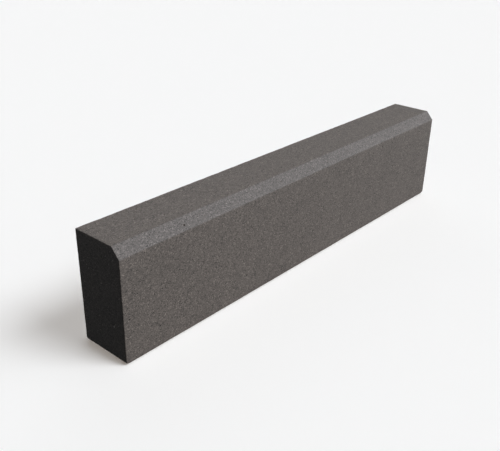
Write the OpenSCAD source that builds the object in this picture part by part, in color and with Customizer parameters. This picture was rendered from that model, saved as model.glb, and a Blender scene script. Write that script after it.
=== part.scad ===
// Concrete kerb stone with a sloped upper corner, standing on its narrow underside.
// Millimetres. The origin is at the middle of the underside.
// X runs along the kerb line, Z is up, and the road side with the slope faces -Y.

/* [Block] */
// Length along the kerb line
length = 1000; // [200:10:2000]
// Thickness from the road face to the back face
thickness = 110; // [80:1:250]
// Height from the underside to the top
height = 220; // [120:1:500]

/* [Sloped corner] */
// How far the slope reaches in from the road face
slope_across = 17.5; // [8:0.5:40]
// How far the slope comes down from the top
slope_down = 19; // [8:0.5:40]

/* [Edge radii] */
// Radius where the slope meets the top and the road face
slope_r = 3; // [0.5:0.5:6]
// Radius of the arris between the top and the back face
back_r = 1; // [0.5:0.5:10]
// Radius of the two arrises along the underside
foot_r = 5; // [0.5:0.5:15]
// Radius of the edges round the two end faces
end_r = 1.5; // [0.5:0.5:5]

/* [Hidden] */
$fn = 64;

road_y = -thickness / 2;
back_y = thickness / 2;
slope_angle = atan2(slope_down, slope_across);

// A fillet's circle reaches this far past its two sides, so that it crosses them cleanly
crossing = 0.001;
// How much larger than the corner itself the piece is that a fillet takes off
kite_growth = 1.3;

// The section seen along +X from the -X end, as [corner, radius], anticlockwise in Y and Z
section_corners = [
    [[road_y, 0], foot_r],
    [[back_y, 0], foot_r],
    [[back_y, height], back_r],
    [[road_y + slope_across, height], slope_r],
    [[road_y, height - slope_down], slope_r],
];

// The four corners of a rectangle, all with one radius
function rectangle_corners(x0, y0, x1, y1, r) =
    [for (p = [[x0, y0], [x1, y0], [x1, y1], [x0, y1]]) [p, r]];

function toward(from, to) = (to - from) / norm(to - from);

// For corner i of an outline: unit vectors along its two sides, away from the corner
function sides_at(corners, i) = let (n = len(corners), p = corners[i][0])
    [toward(p, corners[(i + n - 1) % n][0]), toward(p, corners[(i + 1) % n][0])];

// Half of the angle between the two sides at corner i
function half_angle(corners, i) = let (s = sides_at(corners, i)) acos(s[0] * s[1]) / 2;

// The two points where the fillet at corner i meets its sides
function tangent_points(corners, i) =
    [for (s = sides_at(corners, i)) corners[i][0] + s * corners[i][1] / tan(half_angle(corners, i))];

// The centre of the fillet at corner i
function fillet_centre(corners, i) = let (s = sides_at(corners, i))
    corners[i][0] + toward([0, 0], s[0] + s[1]) * corners[i][1] / sin(half_angle(corners, i));

// What a fillet takes off corner i: the kite between its centre, its two tangent points and
// the corner, enlarged about the centre, less the fillet's own circle
module fillet_waste(corners, i) {
    centre = fillet_centre(corners, i);
    kite = concat([corners[i][0]], tangent_points(corners, i));
    translate(centre)
        difference() {
            polygon([[0, 0], for (k = [1, 0, 2]) (kite[k] - centre) * kite_growth]);
            circle(r = corners[i][1] + crossing);
        }
}

// A convex outline with every corner rounded by a true arc
module rounded_outline(corners) {
    difference() {
        polygon([for (c = corners) c[0]]);
        for (i = [0 : len(corners) - 1])
            fillet_waste(corners, i);
    }
}

// The section carried along the whole length
module long_prism() {
    rotate([90, 0, 90])
        linear_extrude(height = length, center = true)
            rounded_outline(section_corners);
}

// Limits the block as seen from above, which rounds the upright edges of the ends
module plan_limit() {
    linear_extrude(height = height)
        rounded_outline(rectangle_corners(-length / 2, road_y, length / 2, back_y, end_r));
}

// Limits the block as seen from the road, which rounds the level edges of the ends
module elevation_limit() {
    rotate([90, 0, 0])
        linear_extrude(height = thickness, center = true)
            rounded_outline(rectangle_corners(-length / 2, 0, length / 2, height, end_r));
}

// Limits the block as seen along the slope, which rounds the slope's own end edges
module slope_limit() {
    reach = height + thickness;
    translate([0, road_y, height - slope_down])
        rotate([90 + slope_angle, 0, 0])
            linear_extrude(height = 2 * reach, center = true)
                rounded_outline(rectangle_corners(-length / 2, -reach, length / 2, 0, end_r));
}

module kerb_stone() {
    color([0.39, 0.37, 0.355])
        intersection() {
            long_prism();
            plan_limit();
            elevation_limit();
            slope_limit();
        }
}

kerb_stone();
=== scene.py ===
"""A concrete kerb stone on a pale studio floor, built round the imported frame.

The stone is one cast block: a section with a sloped upper corner, carried along the kerb line
and closed by a grid on each end. The mesh holds the relief of cast concrete: faces that are not
quite flat, a sandy skin, blunted arrises and open air holes.
"""
import math

import bpy
import numpy as np
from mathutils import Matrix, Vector


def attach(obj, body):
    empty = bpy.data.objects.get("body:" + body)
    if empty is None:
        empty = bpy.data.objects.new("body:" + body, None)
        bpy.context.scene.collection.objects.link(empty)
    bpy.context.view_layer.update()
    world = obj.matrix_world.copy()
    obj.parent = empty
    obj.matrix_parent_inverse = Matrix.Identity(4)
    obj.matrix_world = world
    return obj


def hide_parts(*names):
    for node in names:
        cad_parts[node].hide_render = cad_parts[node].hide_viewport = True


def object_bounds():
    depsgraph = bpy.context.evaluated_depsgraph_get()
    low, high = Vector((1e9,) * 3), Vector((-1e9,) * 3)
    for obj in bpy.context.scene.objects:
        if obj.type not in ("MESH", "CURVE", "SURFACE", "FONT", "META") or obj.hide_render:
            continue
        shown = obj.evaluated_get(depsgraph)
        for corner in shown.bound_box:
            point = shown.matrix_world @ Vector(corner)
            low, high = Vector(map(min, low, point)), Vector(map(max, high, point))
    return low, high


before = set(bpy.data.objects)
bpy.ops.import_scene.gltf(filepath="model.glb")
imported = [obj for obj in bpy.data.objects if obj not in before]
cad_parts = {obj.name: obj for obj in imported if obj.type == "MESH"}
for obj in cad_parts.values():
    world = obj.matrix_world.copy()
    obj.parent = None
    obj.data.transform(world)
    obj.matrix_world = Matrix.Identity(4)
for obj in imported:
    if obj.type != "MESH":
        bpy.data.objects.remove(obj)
CAD_BOX = [list(corner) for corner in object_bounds()]
CAD_SIZE = [high - low for low, high in zip(*CAD_BOX)]

bl_info = {
    "name": "Concrete kerb stone",
    "version": (1, 0, 0),
    "blender": (4, 5, 0),
    "location": "3D View > Sidebar > Kerb",
    "description": "Builds a cast concrete kerb stone and the studio round it",
    "category": "Add Mesh",
}

NODE = "kerb_stone"
BODY = "root"


# Settings ---------------------------------------------------------------------------------

def length_prop(name, description, default, **limits):
    return bpy.props.FloatProperty(
        name=name, description=description, default=default, unit="LENGTH", precision=5, **limits)


def colour_prop(name, description, default):
    return bpy.props.FloatVectorProperty(
        name=name, description=description, default=default, subtype="COLOR", min=0, max=1)


def factor_prop(name, description, default, **limits):
    return bpy.props.FloatProperty(name=name, description=description, default=default, **limits)


def angle_prop(name, description, degrees):
    return bpy.props.FloatProperty(
        name=name, description=description, default=math.radians(degrees), subtype="ANGLE")


class KerbShape(bpy.types.PropertyGroup):
    """The block's sizes, the same as the solid part's"""
    length: length_prop("Length", "Length along the kerb line", CAD_SIZE[0])
    thickness: length_prop("Thickness", "From the road face to the back face", CAD_SIZE[1])
    height: length_prop("Height", "From the underside to the top", CAD_SIZE[2])
    slope_across: length_prop("Slope across", "How far the slope reaches in", 0.0175)
    slope_down: length_prop("Slope down", "How far the slope comes down", 0.019)
    slope_radius: length_prop("Slope radius", "Rounding at both edges of the slope", 0.003)
    back_radius: length_prop("Back radius", "Rounding between top and back", 0.001)
    foot_radius: length_prop("Foot radius", "Rounding along the underside", 0.005)
    end_radius: length_prop("End radius", "Rounding round the two end faces", 0.0015)


class KerbRelief(bpy.types.PropertyGroup):
    """How far the cast surface departs from the plain solid, always inwards"""
    cell: length_prop("Cell", "Width of the mesh's cells on the flat faces", 0.0032)
    wave_depth: length_prop("Wave depth", "Depth of the broad unevenness", 0.0003)
    wave_length: length_prop("Wave length", "Width of the broad unevenness", 0.07)
    sand_depth: length_prop("Sand depth", "Depth of the sandy skin", 0.00014)
    sand_width: length_prop("Sand width", "Width of the grains that show in the skin", 0.0026)
    slope_grain: factor_prop("Slope grain", "How much rougher the slope's skin is", 1.3)
    arris_wear: length_prop("Arris wear", "Deepest blunting of an arris", 0.0004)
    wear_reach: length_prop("Wear reach", "How far from an arris the blunting runs", 0.0025)
    wear_width: length_prop("Wear width", "Length of one blunted stretch", 0.011)
    corner_radius: length_prop("Corner radius", "Rounding of the worn lower corners", 0.008)
    small_holes: bpy.props.IntProperty(
        name="Small air holes", description="Open air holes that are one cell wide", default=620)
    large_holes: bpy.props.IntProperty(
        name="Large air holes", description="Open air holes that are two cells wide", default=34)
    seed: bpy.props.IntProperty(name="Seed", description="Start of the random draws", default=7)


class KerbFinish(bpy.types.PropertyGroup):
    """Colours and gloss of the concrete"""
    cement: colour_prop("Cement", "Colour of the cement skin", (0.122, 0.105, 0.0945))
    # Partly a painted sheen: besides the sandier skin, this cooler, more neutral tone stands in for
    # the pale reflection that the slope catches.
    slope: colour_prop("Slope", "Colour of the sandier skin on the slope", (0.1028, 0.0919, 0.0892))
    dark_grain: factor_prop("Dark grain", "Shade of the darkest sand grains", 0.25)
    light_grain: factor_prop("Light grain", "Shade of the lightest sand grains", 2.2)
    roughness: factor_prop("Roughness", "Roughness of the skin", 0.7, min=0, max=1)
    gloss: factor_prop("Gloss", "Strength of the skin's reflection", 0.72, min=0, max=1)


class KerbStage(bpy.types.PropertyGroup):
    """Floor, lights and camera"""
    floor_paint: colour_prop("Floor", "Reflectance of the floor", (0.93, 0.965, 1.0))
    floor_glow: colour_prop("Floor glow", "Light that the floor gives off", (0.071, 0.036, 0.002))
    floor_return: factor_prop("Floor return", "Reflectance that the stone sees below it", 0.09)
    key_power: factor_prop("Key", "Strength of the main light", 1.75)
    key_azimuth: angle_prop("Key azimuth", "Turn of the main light about Z, from +X", -64)
    key_elevation: angle_prop("Key elevation", "Height of the main light", 50.5)
    key_softness: angle_prop("Key softness", "Width of the main light in the sky", 30)
    side_power: factor_prop("Side", "Strength of the lower light on the road face", 2.2)
    side_azimuth: angle_prop("Side azimuth", "Turn of the lower light about Z, from +X", -40)
    side_elevation: angle_prop("Side elevation", "Height of the lower light", 18)
    side_softness: angle_prop("Side softness", "Width of the lower light in the sky", 60)
    end_power: factor_prop("End", "Strength of the low light past the +X end", 1.0)
    end_azimuth: angle_prop("End azimuth", "Turn of the low light about Z, from +X", 45)
    end_elevation: angle_prop("End elevation", "Height of the low light", 8)
    end_softness: angle_prop("End softness", "Width of the low light in the sky", 80)
    back_power: factor_prop("Back", "Strength of the light that grazes in from behind", 1.7)
    back_azimuth: angle_prop("Back azimuth", "Turn of the light from behind, from +X", 90)
    back_elevation: angle_prop("Back elevation", "Height of the light from behind", 2)
    back_softness: angle_prop("Back softness", "Width of the light from behind", 20)
    above_power: factor_prop("Above", "Strength of the light from above on the floor alone", 0.33)
    above_azimuth: angle_prop("Above azimuth", "Turn of the light from above, from +X", -25)
    above_elevation: angle_prop("Above elevation", "Height of the light from above", 87.3)
    above_softness: angle_prop("Above softness", "Width of the light from above in the sky", 6)
    ambient: factor_prop("Ambient", "Strength of the light from all round", 0.066)
    ambient_tint: colour_prop("Ambient tint", "Colour of the light from all round", (0.83, 0.92, 1))
    backdrop: factor_prop("Backdrop", "Brightness of the backdrop behind the floor", 0.922)
    camera_place: bpy.props.FloatVectorProperty(
        name="Camera", description="Place of the camera", subtype="XYZ", unit="LENGTH",
        default=(-1.0701, -0.8174, 0.7240))
    camera_turn: bpy.props.FloatVectorProperty(
        name="Camera turn", description="Turn of the camera", subtype="EULER", unit="ROTATION",
        default=[math.radians(a) for a in (63.781, -0.929, -48.531)])
    lens: factor_prop("Lens", "Focal length on a 36 mm wide frame", 49.82)


# Noise ------------------------------------------------------------------------------------

# Large odd factors that scramble a seed, the three lattice axes and the mixture
SEED_FACTOR = 2654435761
AXIS_FACTORS = (73856093, 19349663, 83492791)
MIX_FACTOR = np.uint64(2246822519)
LOW_BITS = np.uint64(2**32 - 1)


def lattice_heights(nodes, seed):
    """A repeatable random height from -1 to 1 for each whole-numbered point of a lattice."""
    mixed = np.full(nodes.shape[:-1], seed * SEED_FACTOR % 2**32, dtype=np.uint64)
    for axis, factor in enumerate(AXIS_FACTORS):
        mixed ^= nodes[..., axis].astype(np.uint64) * np.uint64(factor)
        mixed ^= mixed >> np.uint64(15)
        mixed = mixed * MIX_FACTOR & LOW_BITS
        mixed ^= mixed >> np.uint64(13)
    return mixed.astype(float) / 2**31 - 1


def noise(points, width, seed):
    """Smooth noise from -1 to 1: random heights at the corners of cubes of this width, blended
    inside each cube by the smooth steps of its three fractions."""
    scaled = points / width
    base = np.floor(scaled)
    fraction = scaled - base
    step = fraction * fraction * (3 - 2 * fraction)
    total = np.zeros(points.shape[:-1])
    for corner in np.ndindex(2, 2, 2):
        weight = np.prod(np.where(corner, step, 1 - step), axis=-1)
        total += weight * lattice_heights((base + corner).astype(np.int64), seed)
    return total


# The block's surface ----------------------------------------------------------------------

# Steps in each fillet of the section, in the order of its corners
FILLET_STEPS = (6, 6, 4, 4, 4)
# Steps in the rounding round each end face
END_STEPS = 4
# Width of the narrow cells that keep a flat face flat beside its fillet
GUARD = 0.0005
# No fillet gets smaller than this as the end's rounding draws the section in
LEAST_RADIUS = 0.0002
# Deepest relief, as a share of the sharpest rounding
DEEPEST = 0.7
# How far past its edges the slope's own skin fades out
SLOPE_FADE = 0.0007
# The slope's place among the section's five sides
SLOPE_SIDE = 3


def section_corners(shape):
    """Corners of the section in Y and Z, anticlockwise from the road side's foot, and radii."""
    road, back, top = -shape.thickness / 2, shape.thickness / 2, shape.height
    corners = np.array([
        (road, 0), (back, 0), (back, top),
        (road + shape.slope_across, top), (road, top - shape.slope_down)])
    radii = np.array([shape.foot_radius, shape.foot_radius, shape.back_radius,
                      shape.slope_radius, shape.slope_radius])
    return corners, radii


def side_normals(corners):
    """Outward normal of the side that runs from each corner to the next."""
    run = np.roll(corners, -1, axis=0) - corners
    run /= np.linalg.norm(run, axis=1, keepdims=True)
    return np.stack([run[:, 1], -run[:, 0]], axis=1)


def side_steps(shape, cell):
    """Cells along the five sides, so that the end faces can be grids.

    The underside faces the top with its fillet and half of the slope, and the back faces the
    road face with its fillet and the slope's other half. Each pair gets equal counts.
    """
    foot, _, crown, slope_top, slope_foot = FILLET_STEPS
    guards = 2
    under = round((shape.thickness - 2 * shape.foot_radius) / cell) + guards
    back = round((shape.height - shape.foot_radius) / cell) + guards
    half_slope = round(math.hypot(shape.slope_across, shape.slope_down) / cell / 2) + 1
    top = under + foot - crown // 2 - slope_top - half_slope
    road = back + crown // 2 - slope_foot - half_slope
    return under, back, top, 2 * half_slope, road


def guarded(steps, length):
    """Fractions of a length that divide it evenly, but for a narrow cell at each end."""
    guard = GUARD / length
    return np.linspace(guard, 1 - guard, steps - 1)


def section(shape, steps, inset):
    """Outline and normals of the section for each inset, anticlockwise from the foot's arc.

    The sides move in by the inset. Each corner is an arc about a centre on its bisector, with
    the corner's radius less the inset, and the sides run straight from arc to arc.
    """
    corners, radii = section_corners(shape)
    normals = side_normals(corners)
    before = np.roll(normals, 1, axis=0)
    bisector = (before + normals) / (1 + np.sum(before * normals, axis=1, keepdims=True))
    inset = np.asarray(inset)[:, None]
    radius = np.maximum(radii - inset, LEAST_RADIUS)
    centre = corners - (inset + radius)[..., None] * bisector
    places, facings = [], []
    for i, arc_steps in enumerate(FILLET_STEPS):
        start = math.atan2(before[i, 1], before[i, 0])
        sweep = math.acos(np.dot(before[i], normals[i]))
        angle = start + sweep * np.linspace(0, 1, arc_steps + 1)
        facing = np.stack([np.cos(angle), np.sin(angle)], axis=1)
        places.append(centre[:, None, i] + radius[:, i, None, None] * facing)
        facings.append(facing)
        after = (i + 1) % len(corners)
        first = centre[:, i] + radius[:, i, None] * normals[i]
        last = centre[:, after] + radius[:, after, None] * normals[i]
        part = guarded(steps[i], np.linalg.norm(last - first, axis=1).mean())[:, None]
        places.append(first[:, None] * (1 - part) + last[:, None] * part)
        facings.append(np.repeat(normals[i][None], len(part), axis=0))
    middle_of_foot = -(FILLET_STEPS[0] // 2)
    places = np.roll(np.concatenate(places, axis=1), middle_of_foot, axis=1)
    return places, np.roll(np.concatenate(facings), middle_of_foot, axis=0)


def end_rounding(shape):
    """Offset along X, inset and tilt of the normal for the rings that turn onto an end face."""
    angle = np.linspace(0, math.pi / 2, END_STEPS + 1)
    radius = shape.end_radius
    along = np.append(radius * np.sin(angle), radius)
    inset = np.append(radius * (1 - np.cos(angle)), radius + GUARD)
    return along, inset, np.append(angle, angle[-1])


def long_surface(shape, cell, steps):
    """Points and normals of the section carried along X, one row for each ring.

    The rings are even along the length, and at both ends they follow a quarter circle that
    turns the surface onto the end face.
    """
    straight = shape.length / 2 - shape.end_radius
    count = round(2 * straight / cell) + 2
    middle = straight * (2 * guarded(count, 2 * straight) - 1)
    along, inset, tilt = end_rounding(shape)
    x = np.concatenate([-(straight + along)[::-1], middle, straight + along])
    inset = np.concatenate([inset[::-1], 0 * middle, inset])
    tilt = np.concatenate([-tilt[::-1], 0 * middle, tilt])
    outline, facing = section(shape, steps, inset)
    points = np.concatenate([np.broadcast_to(x[:, None, None], outline.shape[:2] + (1,)),
                             outline], axis=2)
    across = np.broadcast_to(np.sin(tilt)[:, None, None], outline.shape[:2] + (1,))
    normals = np.concatenate([across, np.cos(tilt)[:, None, None] * facing], axis=2)
    return points, normals


def patch_between(under, back, top, road):
    """A grid between four curves: the ruled surface from the underside to the top, plus the one
    from the road side to the back, less the flat patch between the four corners."""
    u = np.linspace(0, 1, len(under))[None, :, None]
    v = np.linspace(0, 1, len(back))[:, None, None]
    ruled = (1 - v) * under[None] + v * top[None] + (1 - u) * road[:, None] + u * back[:, None]
    flat = ((1 - u) * (1 - v) * under[0] + u * (1 - v) * under[-1]
            + (1 - u) * v * top[0] + u * v * top[-1])
    return ruled - flat


def end_grid(ring, wide, tall):
    """Vertex numbers round an end face as four curves, each from its low or road-side end."""
    closed = np.append(ring, ring[0])
    under = closed[:wide + 1]
    back = closed[wide:wide + tall + 1]
    top = closed[wide + tall:2 * wide + tall + 1][::-1]
    road = closed[2 * wide + tall:][::-1]
    return under, back, top, road


def block_grids(shape, cell):
    """Points, normals and the three grids of vertex numbers: the long surface and two ends.

    In each grid, a cell's corners run anticlockwise as seen from outside.
    """
    steps = side_steps(shape, cell)
    points, normals = long_surface(shape, cell, steps)
    rings, around = points.shape[:2]
    numbers = np.arange(rings * around).reshape(rings, around)
    points, normals = points.reshape(-1, 3), normals.reshape(-1, 3)
    grids = [np.concatenate([numbers, numbers[:, :1]], axis=1)]
    wide = steps[0] + FILLET_STEPS[0]
    tall = around // 2 - wide
    for ring, sign in ((numbers[0], -1), (numbers[-1], 1)):
        curves = end_grid(ring, wide, tall)
        patch = patch_between(*(points[c] for c in curves))
        grid = np.empty(patch.shape[:2], dtype=int)
        under, back, top, road = curves
        grid[0], grid[-1], grid[:, 0], grid[:, -1] = under, top, road, back
        inner = patch[1:-1, 1:-1].reshape(-1, 3)
        grid[1:-1, 1:-1] = len(points) + np.arange(len(inner)).reshape(tall - 1, wide - 1)
        points = np.concatenate([points, inner])
        normals = np.concatenate([normals, np.tile((sign, 0.0, 0.0), (len(inner), 1))])
        grids.append(grid if sign > 0 else grid[:, ::-1])
    return points, normals, grids


def face_distances(shape, points):
    """Distance of each point inside the block's seven faces: the five sides, then the ends."""
    corners, _ = section_corners(shape)
    normals = side_normals(corners)
    sides = np.sum(corners * normals, axis=1) - points[:, 1:] @ normals.T
    ends = shape.length / 2 + points[:, :1] * np.array([1, -1])
    return np.concatenate([sides, ends], axis=1)


def round_foot_corners(shape, radius, points):
    """Rounds the block's lower corners as the road face shows them.

    In the square between an end, the underside and the radius, a point keeps its turn about the
    square's inner corner. Its distance from there shrinks as a square's edge shrinks to a circle.
    """
    straight = shape.length / 2 - radius
    inner = np.stack([np.sign(points[:, 0]) * straight, np.full(len(points), radius)], axis=1)
    from_inner = points[:, [0, 2]] - inner
    reach = np.abs(from_inner)
    inside = (np.abs(points[:, 0]) > straight) & (points[:, 2] < radius)
    shrink = reach.max(axis=1) / np.maximum(np.hypot(*reach.T), 1e-9)
    rounded = points.copy()
    rounded[:, [0, 2]] = np.where(inside[:, None], inner + from_inner * shrink[:, None],
                                  points[:, [0, 2]])
    return rounded


def gather_relief(shape, relief, points, seed):
    """Depth of the relief at each point, and how close the point is to an arris and the slope.

    A point on a face lies on one of the seven faces, so the second smallest of its distances to
    them says how far the nearest arris is. The depth is a broad wave, a sandy skin and a
    blunting that comes and goes along the arrises, never so much that a rounding folds over.
    """
    distances = face_distances(shape, points)
    to_arris = np.sort(distances, axis=1)[:, 1]
    arris = np.exp(-(to_arris / relief.wear_reach) ** 2)
    slope = np.exp(-(distances[:, SLOPE_SIDE] / SLOPE_FADE) ** 2)
    wave = relief.wave_depth * (0.5 + 0.5 * noise(points, relief.wave_length, seed))
    grain = 0.6 * noise(points, relief.sand_width, seed + 1)
    grain += 0.4 * noise(points, 2.3 * relief.sand_width, seed + 2)
    skin = relief.sand_depth * (1 + grain) / 2 * (1 + (relief.slope_grain - 1) * slope)
    wear = 0.6 * noise(points, relief.wear_width, seed + 3)
    wear += 0.4 * noise(points, relief.wear_width / 3, seed + 4)
    blunting = relief.arris_wear * arris * np.clip(0.25 + wear, 0, 1)
    depth = np.minimum(wave + skin + blunting, DEEPEST * shape.back_radius)
    return depth, arris, slope, to_arris


# Air holes --------------------------------------------------------------------------------

# Rings of an air hole from its rim down: share of the radius, share of the depth
HOLE_RINGS = ((1.0, 0.0), (0.88, 0.5), (0.5, 0.92))
HOLE_SIDES = 8
# Air holes stay this many cells away from an arris
HOLE_CLEARANCE = 1.5
# Least and greatest radius, as shares of half a block, for large and small air holes
LARGE_SHARE = (0.34, 0.6)
SMALL_SHARE = (0.28, 0.62)
# Least and greatest depth, and length of a spoke, as shares of an air hole's radius
DEPTH_SHARE = (0.7, 1.3)
SPOKE_SHARE = (0.82, 1.12)


def chosen_blocks(grids, far_from_arris, width, count, taken, random):
    """Corner cells of square blocks, this many cells wide, in which air holes are opened.

    A block lies on the grid's own multiples of its width, so blocks of one width never overlap,
    and all of its points are clear of the arrises.
    """
    found = []
    for g, grid in enumerate(grids):
        clear = far_from_arris[grid]
        rows, columns = np.meshgrid(np.arange(0, grid.shape[0] - width, width),
                                    np.arange(0, grid.shape[1] - width, width), indexing="ij")
        fits = np.ones(rows.shape, dtype=bool)
        for i, j in np.ndindex(width + 1, width + 1):
            fits &= clear[rows + i, columns + j]
        for i, j in np.ndindex(width, width):
            fits &= ~taken[g][rows + i, columns + j]
        found.append(np.stack([np.full(fits.sum(), g), rows[fits], columns[fits]], axis=1))
    found = np.concatenate(found)
    picked = found[random.choice(len(found), size=min(count, len(found)), replace=False)]
    for i, j in np.ndindex(width, width):
        for g in range(len(grids)):
            mine = picked[picked[:, 0] == g]
            taken[g][mine[:, 1] + i, mine[:, 2] + j] = True
    return picked


def block_rims(grids, picked, width):
    """Vertex numbers round each block, anticlockwise from its first corner."""
    way = [(0, k) for k in range(width)] + [(k, width) for k in range(width)]
    way += [(width, width - k) for k in range(width)] + [(width - k, 0) for k in range(width)]
    rims = np.empty((len(picked), len(way)), dtype=int)
    for g, grid in enumerate(grids):
        mine = picked[:, 0] == g
        for k, (i, j) in enumerate(way):
            rims[mine, k] = grid[picked[mine, 1] + i, picked[mine, 2] + j]
    return rims


def air_holes(points, normals, rims, radius, depth, random):
    """Points and faces that fill each rim with an open air hole.

    A hole is a set of eight-sided rings about the block's centre. They shrink and sink as the
    rings' table says, each spoke is a little longer or shorter than the radius, and a fan of
    triangles closes the bottom.
    """
    count, sides = rims.shape
    border = points[rims]
    if sides < HOLE_SIDES:
        between = (border + np.roll(border, -1, axis=1)) / 2
        border = np.stack([border, between], axis=2).reshape(count, HOLE_SIDES, 3)
    centre = border.mean(axis=1, keepdims=True)
    spoke = border - centre
    spoke /= np.linalg.norm(spoke, axis=2, keepdims=True)
    facing = normals[rims].mean(axis=1, keepdims=True)
    reach = radius[:, None, None] * random.uniform(*SPOKE_SHARE, (count, HOLE_SIDES, 1))
    rings = [centre + reach * share * spoke - facing * depth[:, None, None] * sink
             for share, sink in HOLE_RINGS]
    bottom = centre - facing * depth[:, None, None]
    fresh = np.concatenate(rings + [bottom], axis=1)
    first = len(points) + np.arange(count)[:, None] * fresh.shape[1]
    ring = [first + r * HOLE_SIDES + np.arange(HOLE_SIDES) for r in range(len(HOLE_RINGS))]
    last = first + len(HOLE_RINGS) * HOLE_SIDES

    def ahead(numbers):
        return np.roll(numbers, -1, axis=1)

    quads = [np.stack([a, ahead(a), ahead(b), b], axis=2) for a, b in zip(ring, ring[1:])]
    fan = [np.stack([ring[-1], ahead(ring[-1]), np.broadcast_to(last, ring[-1].shape)], axis=2)]
    if sides < HOLE_SIDES:
        corner, middle = ring[0][:, 0::2], ring[0][:, 1::2]
        fan += [np.stack([rims, ahead(rims), middle], axis=2),
                np.stack([rims, middle, corner], axis=2),
                np.stack([ahead(rims), ahead(corner), middle], axis=2)]
    else:
        quads.append(np.stack([rims, ahead(rims), ahead(ring[0]), ring[0]], axis=2))
    # Painted shade: each ring's share of the depth is kept as its shade, so the colour inside an
    # air hole darkens towards the bottom, for the shade that falls in it.
    shade = np.concatenate([np.full(HOLE_SIDES, sink) for _, sink in HOLE_RINGS] + [[1.0]])
    return (fresh.reshape(-1, 3), np.tile(shade, count),
            np.concatenate([q.reshape(-1, 4) for q in quads]),
            np.concatenate([t.reshape(-1, 3) for t in fan]))


def stone_arrays(shape, relief):
    """Points, quads, triangles and the point attributes of the whole stone."""
    points, normals, grids = block_grids(shape, relief.cell)
    depth, arris, slope, to_arris = gather_relief(shape, relief, points, relief.seed)
    points = round_foot_corners(shape, relief.corner_radius, points - normals * depth[:, None])
    random = np.random.default_rng(relief.seed)
    taken = [np.zeros((g.shape[0] - 1, g.shape[1] - 1), dtype=bool) for g in grids]
    hole = np.zeros(len(points))
    quads, triangles = [], []
    clear = to_arris > HOLE_CLEARANCE * relief.cell
    for width, count, share in ((2, relief.large_holes, LARGE_SHARE),
                                (1, relief.small_holes, SMALL_SHARE)):
        picked = chosen_blocks(grids, clear, width, count, taken, random)
        rims = block_rims(grids, picked, width)
        radius = relief.cell * width / 2 * random.uniform(*share, len(picked))
        sunk = radius * random.uniform(*DEPTH_SHARE, len(picked))
        fresh, shade, four, three = air_holes(points, normals, rims, radius, sunk, random)
        points = np.concatenate([points, fresh])
        hole = np.append(hole, shade)
        quads.append(four)
        triangles.append(three)
    for grid, gone in zip(grids, taken):
        cells = np.stack([grid[:-1, :-1], grid[:-1, 1:], grid[1:, 1:], grid[1:, :-1]], axis=2)
        quads.append(cells[~gone])
    spare = np.zeros(len(points) - len(arris))
    # The hole attribute carries the painted shade inside the air holes.
    attributes = {"hole": hole, "arris": np.append(arris, spare), "slope": np.append(slope, spare)}
    return points, np.concatenate(quads), np.concatenate(triangles), attributes


def mesh_object(name, points, quads, triangles, attributes):
    """A mesh object at the origin from whole arrays, smooth shaded, with point attributes."""
    mesh = bpy.data.meshes.new(name)
    mesh.from_pydata(points.tolist(), [], quads.tolist() + triangles.tolist())
    for label, values in attributes.items():
        layer = mesh.attributes.new(label, "FLOAT", "POINT")
        layer.data.foreach_set("value", values.astype(np.float32))
    mesh.polygons.foreach_set("use_smooth", np.ones(len(mesh.polygons), dtype=bool))
    if mesh.validate():
        raise RuntimeError(f"{name}: the mesh had faults")
    piece = bpy.data.objects.new(name, mesh)
    bpy.context.scene.collection.objects.link(piece)
    return piece


# Materials --------------------------------------------------------------------------------

class Nodes:
    """Adds nodes to a material and links them, so that a pattern reads as a formula."""

    def __init__(self, material):
        material.use_nodes = True
        self.tree = material.node_tree
        self.shader = self.tree.nodes["Principled BSDF"]

    def add(self, kind, settings=None, **inputs):
        node = self.tree.nodes.new(kind)
        for name, value in (settings or {}).items():
            setattr(node, name, value)
        for name, value in inputs.items():
            self.feed(node.inputs[name.replace("_", " ")], value)
        return node

    def feed(self, socket, value):
        if isinstance(value, bpy.types.NodeSocket):
            self.tree.links.new(value, socket)
        else:
            socket.default_value = value

    def math(self, operation, first, second=0.0):
        node = self.tree.nodes.new("ShaderNodeMath")
        node.operation = operation
        self.feed(node.inputs[0], first)
        self.feed(node.inputs[1], second)
        return node.outputs[0]

    def spread(self, value, low, high, to_low, to_high):
        """Maps a value from one range onto another, held at both ends."""
        node = self.add("ShaderNodeMapRange", Value=value)
        for name, number in (("From Min", low), ("From Max", high),
                             ("To Min", to_low), ("To Max", to_high)):
            node.inputs[name].default_value = number
        return node.outputs["Result"]

    def noise(self, place, width, detail=2.0, roughness=0.5):
        """Smooth noise from 0 to 1 whose blobs are about this wide."""
        node = self.add("ShaderNodeTexNoise", Vector=place, Scale=1 / width, Detail=detail,
                        Roughness=roughness)
        return node.outputs["Fac"]

    def grains(self, place, width):
        """Cells about this wide: how far a point is from its cell's middle, in widths, and a
        random number from 0 to 1 that each cell has for itself."""
        node = self.add("ShaderNodeTexVoronoi", Vector=place, Scale=1 / width)
        own = self.add("ShaderNodeSeparateColor", Color=node.outputs["Color"])
        return node.outputs["Distance"], own.outputs["Red"]

    def steps(self, value, stops):
        """Maps a value through straight lines between pairs of value and result."""
        node = self.add("ShaderNodeValToRGB", Fac=value)
        points = node.color_ramp.elements
        while len(points) < len(stops):
            points.new(0.5)
        for point, (at, result) in zip(points, stops):
            point.position = at
            point.color = (result, result, result, 1)
        return node.outputs["Color"]

    def tint(self, first, second, factor):
        """A mix of two colours: the first at 0 and the second at 1."""
        node = self.add("ShaderNodeMix", {"data_type": "RGBA"})
        self.feed(node.inputs["Factor"], factor)
        self.feed(node.inputs["A"], first)
        self.feed(node.inputs["B"], second)
        return next(s for s in node.outputs if s.type == "RGBA")

    def brighten(self, colour, factor):
        """A colour times a factor, by a vector scale."""
        node = self.add("ShaderNodeVectorMath", {"operation": "SCALE"})
        self.feed(node.inputs[0], colour)
        self.feed(node.inputs["Scale"], factor)
        return node.outputs["Vector"]

    def attribute(self, name):
        """A number that the mesh holds for each of its points."""
        return self.add("ShaderNodeAttribute", {"attribute_name": name}).outputs["Fac"]


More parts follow.
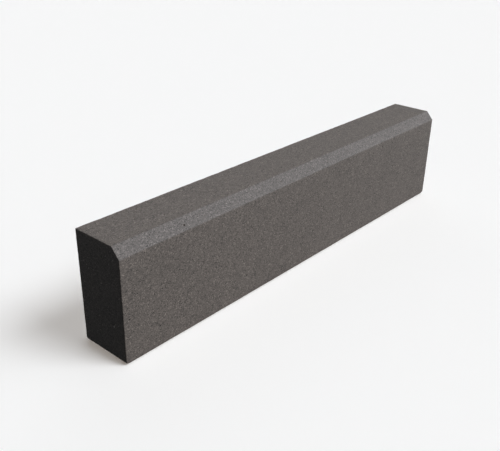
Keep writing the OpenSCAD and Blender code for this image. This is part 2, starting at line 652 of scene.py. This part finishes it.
# Widths of the concrete's patterns, from the broadest down
BLOTCH_WIDTH = 0.11
CLOUD_WIDTH = 0.03
PATCH_WIDTH = 0.022
PORE_WIDTH = 0.008
COARSE_WIDTH = 0.0023
SPECK_WIDTH = 0.0016
FINE_WIDTH = 0.0013
# The sand's brightest tone that a ramp can hold, since a ramp's own values stop at one
RAMP_TOP = 3.0
# How strongly the fine grains show beside the coarse ones
FINE_SHARE = 0.8
# Share of the pore cells that hold no pore
CLOSED_PORES = 0.6
# How far the roughness goes up and down with the specks
ROUGHNESS_SWING = 0.06
# Depth of the bump, and how much of it shows
BUMP_DISTANCE = 0.0004
BUMP_STRENGTH = 0.6


def grain_tones(n, own, finish):
    """How much lighter, or darker if negative, each grain is than the skin round it.

    A grain's own random number picks its tone. Few are as dark or as light as the extremes.
    """
    tones = ((0.0, finish.dark_grain), (0.16, 0.7), (0.5, 0.95), (0.84, 1.2),
             (1.0, finish.light_grain))
    picked = n.steps(own, [(at, tone / RAMP_TOP) for at, tone in tones])
    return n.math("SUBTRACT", n.math("MULTIPLY", picked, RAMP_TOP), 1.0)


def concrete_material(finish):
    """Dark warm grey concrete: a cement skin with sand grains showing through it. On the slope the
    colour turns cooler, partly for its sandier skin and partly as a painted sheen.

    The shade is a product of broad blotches, small clouds, coarse and fine sand grains, and painted
    shade: dark pores and a darkening inside the modelled air holes stand for the shade that falls
    in them.
    The sand shows more in some patches than in others.
    """
    material = bpy.data.materials.new("concrete")
    n = Nodes(material)
    place = n.add("ShaderNodeTexCoord").outputs["Object"]
    slope, arris, hole = (n.attribute(name) for name in ("slope", "arris", "hole"))

    blotch = n.noise(place, BLOTCH_WIDTH, detail=3, roughness=0.6)
    cloud = n.noise(place, CLOUD_WIDTH, detail=3, roughness=0.6)
    patch = n.noise(place, PATCH_WIDTH)
    speck = n.noise(place, SPECK_WIDTH, roughness=0.8)
    coarse_reach, coarse_own = n.grains(place, COARSE_WIDTH)
    fine_reach, fine_own = n.grains(place, FINE_WIDTH)
    pore_reach, pore_own = n.grains(place, PORE_WIDTH)

    showing = n.spread(patch, 0.35, 0.65, 0.7, 1.0)
    coarse = n.math("MULTIPLY", grain_tones(n, coarse_own, finish),
                    n.spread(coarse_reach, 0.35, 0.62, 1.0, 0.25))
    fine = n.math("MULTIPLY", grain_tones(n, fine_own, finish), FINE_SHARE)
    sand = n.math("ADD", n.math("MULTIPLY", n.math("ADD", coarse, fine), showing), 1.0)

    # Painted shade: an open pore is a dark spot for the shade inside a pinhole, as well as a dip in
    # the bump.
    open_pore = n.math("GREATER_THAN", pore_own, CLOSED_PORES)
    pore = n.math("MULTIPLY", open_pore, n.spread(pore_reach, 0.06, 0.12, 1.0, 0.0))

    shade = n.math("MULTIPLY", n.spread(blotch, 0.3, 0.7, 0.96, 1.04),
                   n.spread(cloud, 0.3, 0.7, 0.955, 1.045))
    # Of these factors, the darkening of the pores and of the air holes' insides is painted shade,
    # for the shade that falls in them; the rest is the concrete's own tone and wear.
    for factor in (n.spread(speck, 0.3, 0.7, 0.88, 1.12), sand,
                   n.spread(pore, 0.0, 1.0, 1.0, 0.4), n.spread(hole, 0.0, 0.8, 1.0, 0.25),
                   n.spread(arris, 0.2, 1.0, 1.0, 1.06)):
        shade = n.math("MULTIPLY", shade, factor)

    # Partly a painted sheen: over the slope the skin turns to the slope's cooler colour, which
    # stands in for the pale reflection it catches.
    skin = n.tint((*finish.cement, 1), (*finish.slope, 1), slope)
    n.feed(n.shader.inputs["Base Color"], n.brighten(skin, shade))
    n.feed(n.shader.inputs["Roughness"],
           n.spread(speck, 0.3, 0.7, finish.roughness - ROUGHNESS_SWING,
                    finish.roughness + ROUGHNESS_SWING))
    n.shader.inputs["Specular IOR Level"].default_value = finish.gloss

    height = n.math("MULTIPLY", speck, 0.5)
    for reach, tall in ((coarse_reach, 0.5), (fine_reach, 0.3)):
        height = n.math("ADD", height, n.spread(reach, 0.0, 0.7, tall, 0.0))
    height = n.math("SUBTRACT", height, n.math("MULTIPLY", pore, 2.0))
    bump = n.add("ShaderNodeBump", Height=height, Strength=BUMP_STRENGTH,
                 Distance=BUMP_DISTANCE)
    n.feed(n.shader.inputs["Normal"], bump.outputs["Normal"])
    return material


def matt_material(name, paint, glow=(0, 0, 0)):
    """A matt finish that also gives off an even light of its own."""
    material = bpy.data.materials.new(name)
    material.use_nodes = True
    shader = material.node_tree.nodes["Principled BSDF"]
    shader.inputs["Base Color"].default_value = (*paint, 1)
    shader.inputs["Roughness"].default_value = 1.0
    shader.inputs["Specular IOR Level"].default_value = 0.0
    shader.inputs["Emission Color"].default_value = (*glow, 1)
    shader.inputs["Emission Strength"].default_value = 1.0
    return material


# The stage --------------------------------------------------------------------------------

FLOOR_RADIUS = 12
BACKDROP_RADIUS = 14
# How far below the floor the dimmer face lies that the stone's own light comes back from
UNDERLAY_DROP = 0.002
# Corners of the floor's rim and of each of the backdrop's rings
ROUND_STEPS = 64
# The backdrop's rings, and how near they come to its poles, in radians from its middle
BACKDROP_RINGS = 25
BACKDROP_RISE = 1.5
# Where a sun's object stands, which only shows in the 3D view
LAMP_DISTANCE = 3
# The camera's frame, in millimetres, and how far it sees, in metres
SENSOR_WIDTH = 36
CAMERA_REACH = 60


def sun(name, azimuth, elevation, power, softness, shadow=False):
    """A far, round, soft light at a turn about Z and a height over the floor."""
    light = bpy.data.lights.new(name, "SUN")
    light.energy = power
    light.angle = softness
    light.use_shadow = shadow
    lamp = bpy.data.objects.new(name, light)
    towards = Vector((math.cos(azimuth) * math.cos(elevation),
                      math.sin(azimuth) * math.cos(elevation), math.sin(elevation)))
    lamp.rotation_euler = towards.to_track_quat("Z", "Y").to_euler()
    lamp.location = towards * LAMP_DISTANCE
    bpy.context.scene.collection.objects.link(lamp)
    return lamp


def light_only(lamp, stage_object):
    """Keeps a light to one stage object, which gets the shadows of everything else."""
    lit = bpy.data.collections.new(f"lit_from_{lamp.name}")
    lit.objects.link(stage_object)
    lamp.light_linking.receiver_collection = lit


def seen_by(stage_object, *kinds):
    """Shows a stage object to only these kinds of ray, out of all that there are."""
    for ray in ("camera", "diffuse", "glossy", "transmission", "volume_scatter", "shadow"):
        setattr(stage_object, f"visible_{ray}", ray in kinds)


def stage_piece(name, points, faces, material):
    """A piece of the stage from whole arrays, in its material."""
    mesh = bpy.data.meshes.new(name)
    mesh.from_pydata(points.tolist(), [], faces.tolist())
    mesh.materials.append(material)
    piece = bpy.data.objects.new(name, mesh)
    bpy.context.scene.collection.objects.link(piece)
    return piece


def disc(radius, height):
    """Points and the one face of a flat disc at one height, from points at even turns."""
    turn = np.linspace(0, 2 * math.pi, ROUND_STEPS, endpoint=False)
    points = np.stack([radius * np.cos(turn), radius * np.sin(turn), 0 * turn + height], axis=1)
    return points, np.arange(ROUND_STEPS)[None]


def dome(radius):
    """Points and faces of a sphere seen from inside: even turns, and even heights in angle."""
    turn, rise = np.meshgrid(np.linspace(0, 2 * math.pi, ROUND_STEPS + 1),
                             np.linspace(-BACKDROP_RISE, BACKDROP_RISE, BACKDROP_RINGS))
    points = radius * np.stack([np.cos(rise) * np.cos(turn), np.cos(rise) * np.sin(turn),
                                np.sin(rise)], axis=2)
    numbers = np.arange(turn.size).reshape(turn.shape)
    quads = np.stack([numbers[:-1, :-1], numbers[1:, :-1], numbers[1:, 1:], numbers[:-1, 1:]],
                     axis=2)
    return points.reshape(-1, 3), quads.reshape(-1, 4)


def set_surroundings(stage):
    """The floor, the dimmer face under it that only the stone sees, and the backdrop."""
    ground = CAD_BOX[0][2]
    floor = stage_piece("floor", *disc(FLOOR_RADIUS, ground),
                        matt_material("floor_paint", stage.floor_paint, stage.floor_glow))
    seen_by(floor, "camera")
    underlay = stage_piece("floor_under_stone", *disc(FLOOR_RADIUS, ground - UNDERLAY_DROP),
                           matt_material("floor_dim", (stage.floor_return,) * 3))
    seen_by(underlay, "diffuse")
    backdrop = stage_piece("backdrop", *dome(BACKDROP_RADIUS),
                           matt_material("backdrop_white", (0, 0, 0), (stage.backdrop,) * 3))
    seen_by(backdrop, "camera")
    return floor


def set_lights(scene, stage, floor):
    """Five suns and an even light from all round. Only two of the suns throw shadows."""
    lamps = {}
    for name in ("key", "side", "end", "back", "above"):
        turn, rise, power, softness = (getattr(stage, f"{name}_{setting}") for setting in
                                       ("azimuth", "elevation", "power", "softness"))
        lamps[name] = sun(name, turn, rise, power, softness, shadow=name in ("key", "above"))
    light_only(lamps["above"], floor)
    world = bpy.data.worlds.new("studio")
    world.use_nodes = True
    sky = world.node_tree.nodes["Background"]
    sky.inputs["Color"].default_value = (*stage.ambient_tint, 1)
    sky.inputs["Strength"].default_value = stage.ambient
    scene.world = world
    scene.view_settings.view_transform = "Standard"


def set_camera(scene, stage):
    """The camera, past the -X end on the road side and above the stone."""
    view = bpy.data.cameras.new("camera")
    view.sensor_width = SENSOR_WIDTH
    view.lens = stage.lens
    view.clip_end = CAMERA_REACH
    camera = bpy.data.objects.new("camera", view)
    camera.location = stage.camera_place
    camera.rotation_euler = stage.camera_turn
    scene.collection.objects.link(camera)
    scene.camera = camera


# Operators --------------------------------------------------------------------------------

class KERB_OT_stone(bpy.types.Operator):
    """Build the kerb stone"""
    bl_idname = "kerb.stone"
    bl_label = "Kerb stone"

    def execute(self, context):
        scene = context.scene
        stone = mesh_object("kerb_block", *stone_arrays(scene.kerb_shape, scene.kerb_relief))
        stone.data.materials.append(concrete_material(scene.kerb_finish))
        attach(stone, BODY)
        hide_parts(NODE)
        return {"FINISHED"}


class KERB_OT_stage(bpy.types.Operator):
    """Set the pale floor, the soft studio light and the camera"""
    bl_idname = "kerb.stage"
    bl_label = "Studio"

    def execute(self, context):
        scene = context.scene
        floor = set_surroundings(scene.kerb_stage)
        set_lights(scene, scene.kerb_stage, floor)
        set_camera(scene, scene.kerb_stage)
        return {"FINISHED"}


# Panel and registration -------------------------------------------------------------------

class KERB_PT_panel(bpy.types.Panel):
    """Settings and steps of the kerb stone"""
    bl_label = "Kerb stone"
    bl_idname = "KERB_PT_panel"
    bl_space_type = "VIEW_3D"
    bl_region_type = "UI"
    bl_category = "Kerb"

    def draw(self, context):
        for label in SETTINGS:
            settings = getattr(context.scene, label)
            box = self.layout.box()
            for name in settings.__annotations__:
                box.prop(settings, name)
        for step in STEPS:
            self.layout.operator(step)


SETTINGS = {"kerb_shape": KerbShape, "kerb_relief": KerbRelief, "kerb_finish": KerbFinish,
            "kerb_stage": KerbStage}
CLASSES = (*SETTINGS.values(), KERB_OT_stone, KERB_OT_stage, KERB_PT_panel)
STEPS = ("kerb.stone", "kerb.stage")


def register():
    for each in CLASSES:
        bpy.utils.register_class(each)
    for label, group in SETTINGS.items():
        setattr(bpy.types.Scene, label, bpy.props.PointerProperty(type=group))


def unregister():
    for label in SETTINGS:
        delattr(bpy.types.Scene, label)
    for each in reversed(CLASSES):
        bpy.utils.unregister_class(each)


def main():
    register()
    bpy.ops.kerb.stone()
    bpy.ops.kerb.stage()


if __name__ == "__main__":
    main()
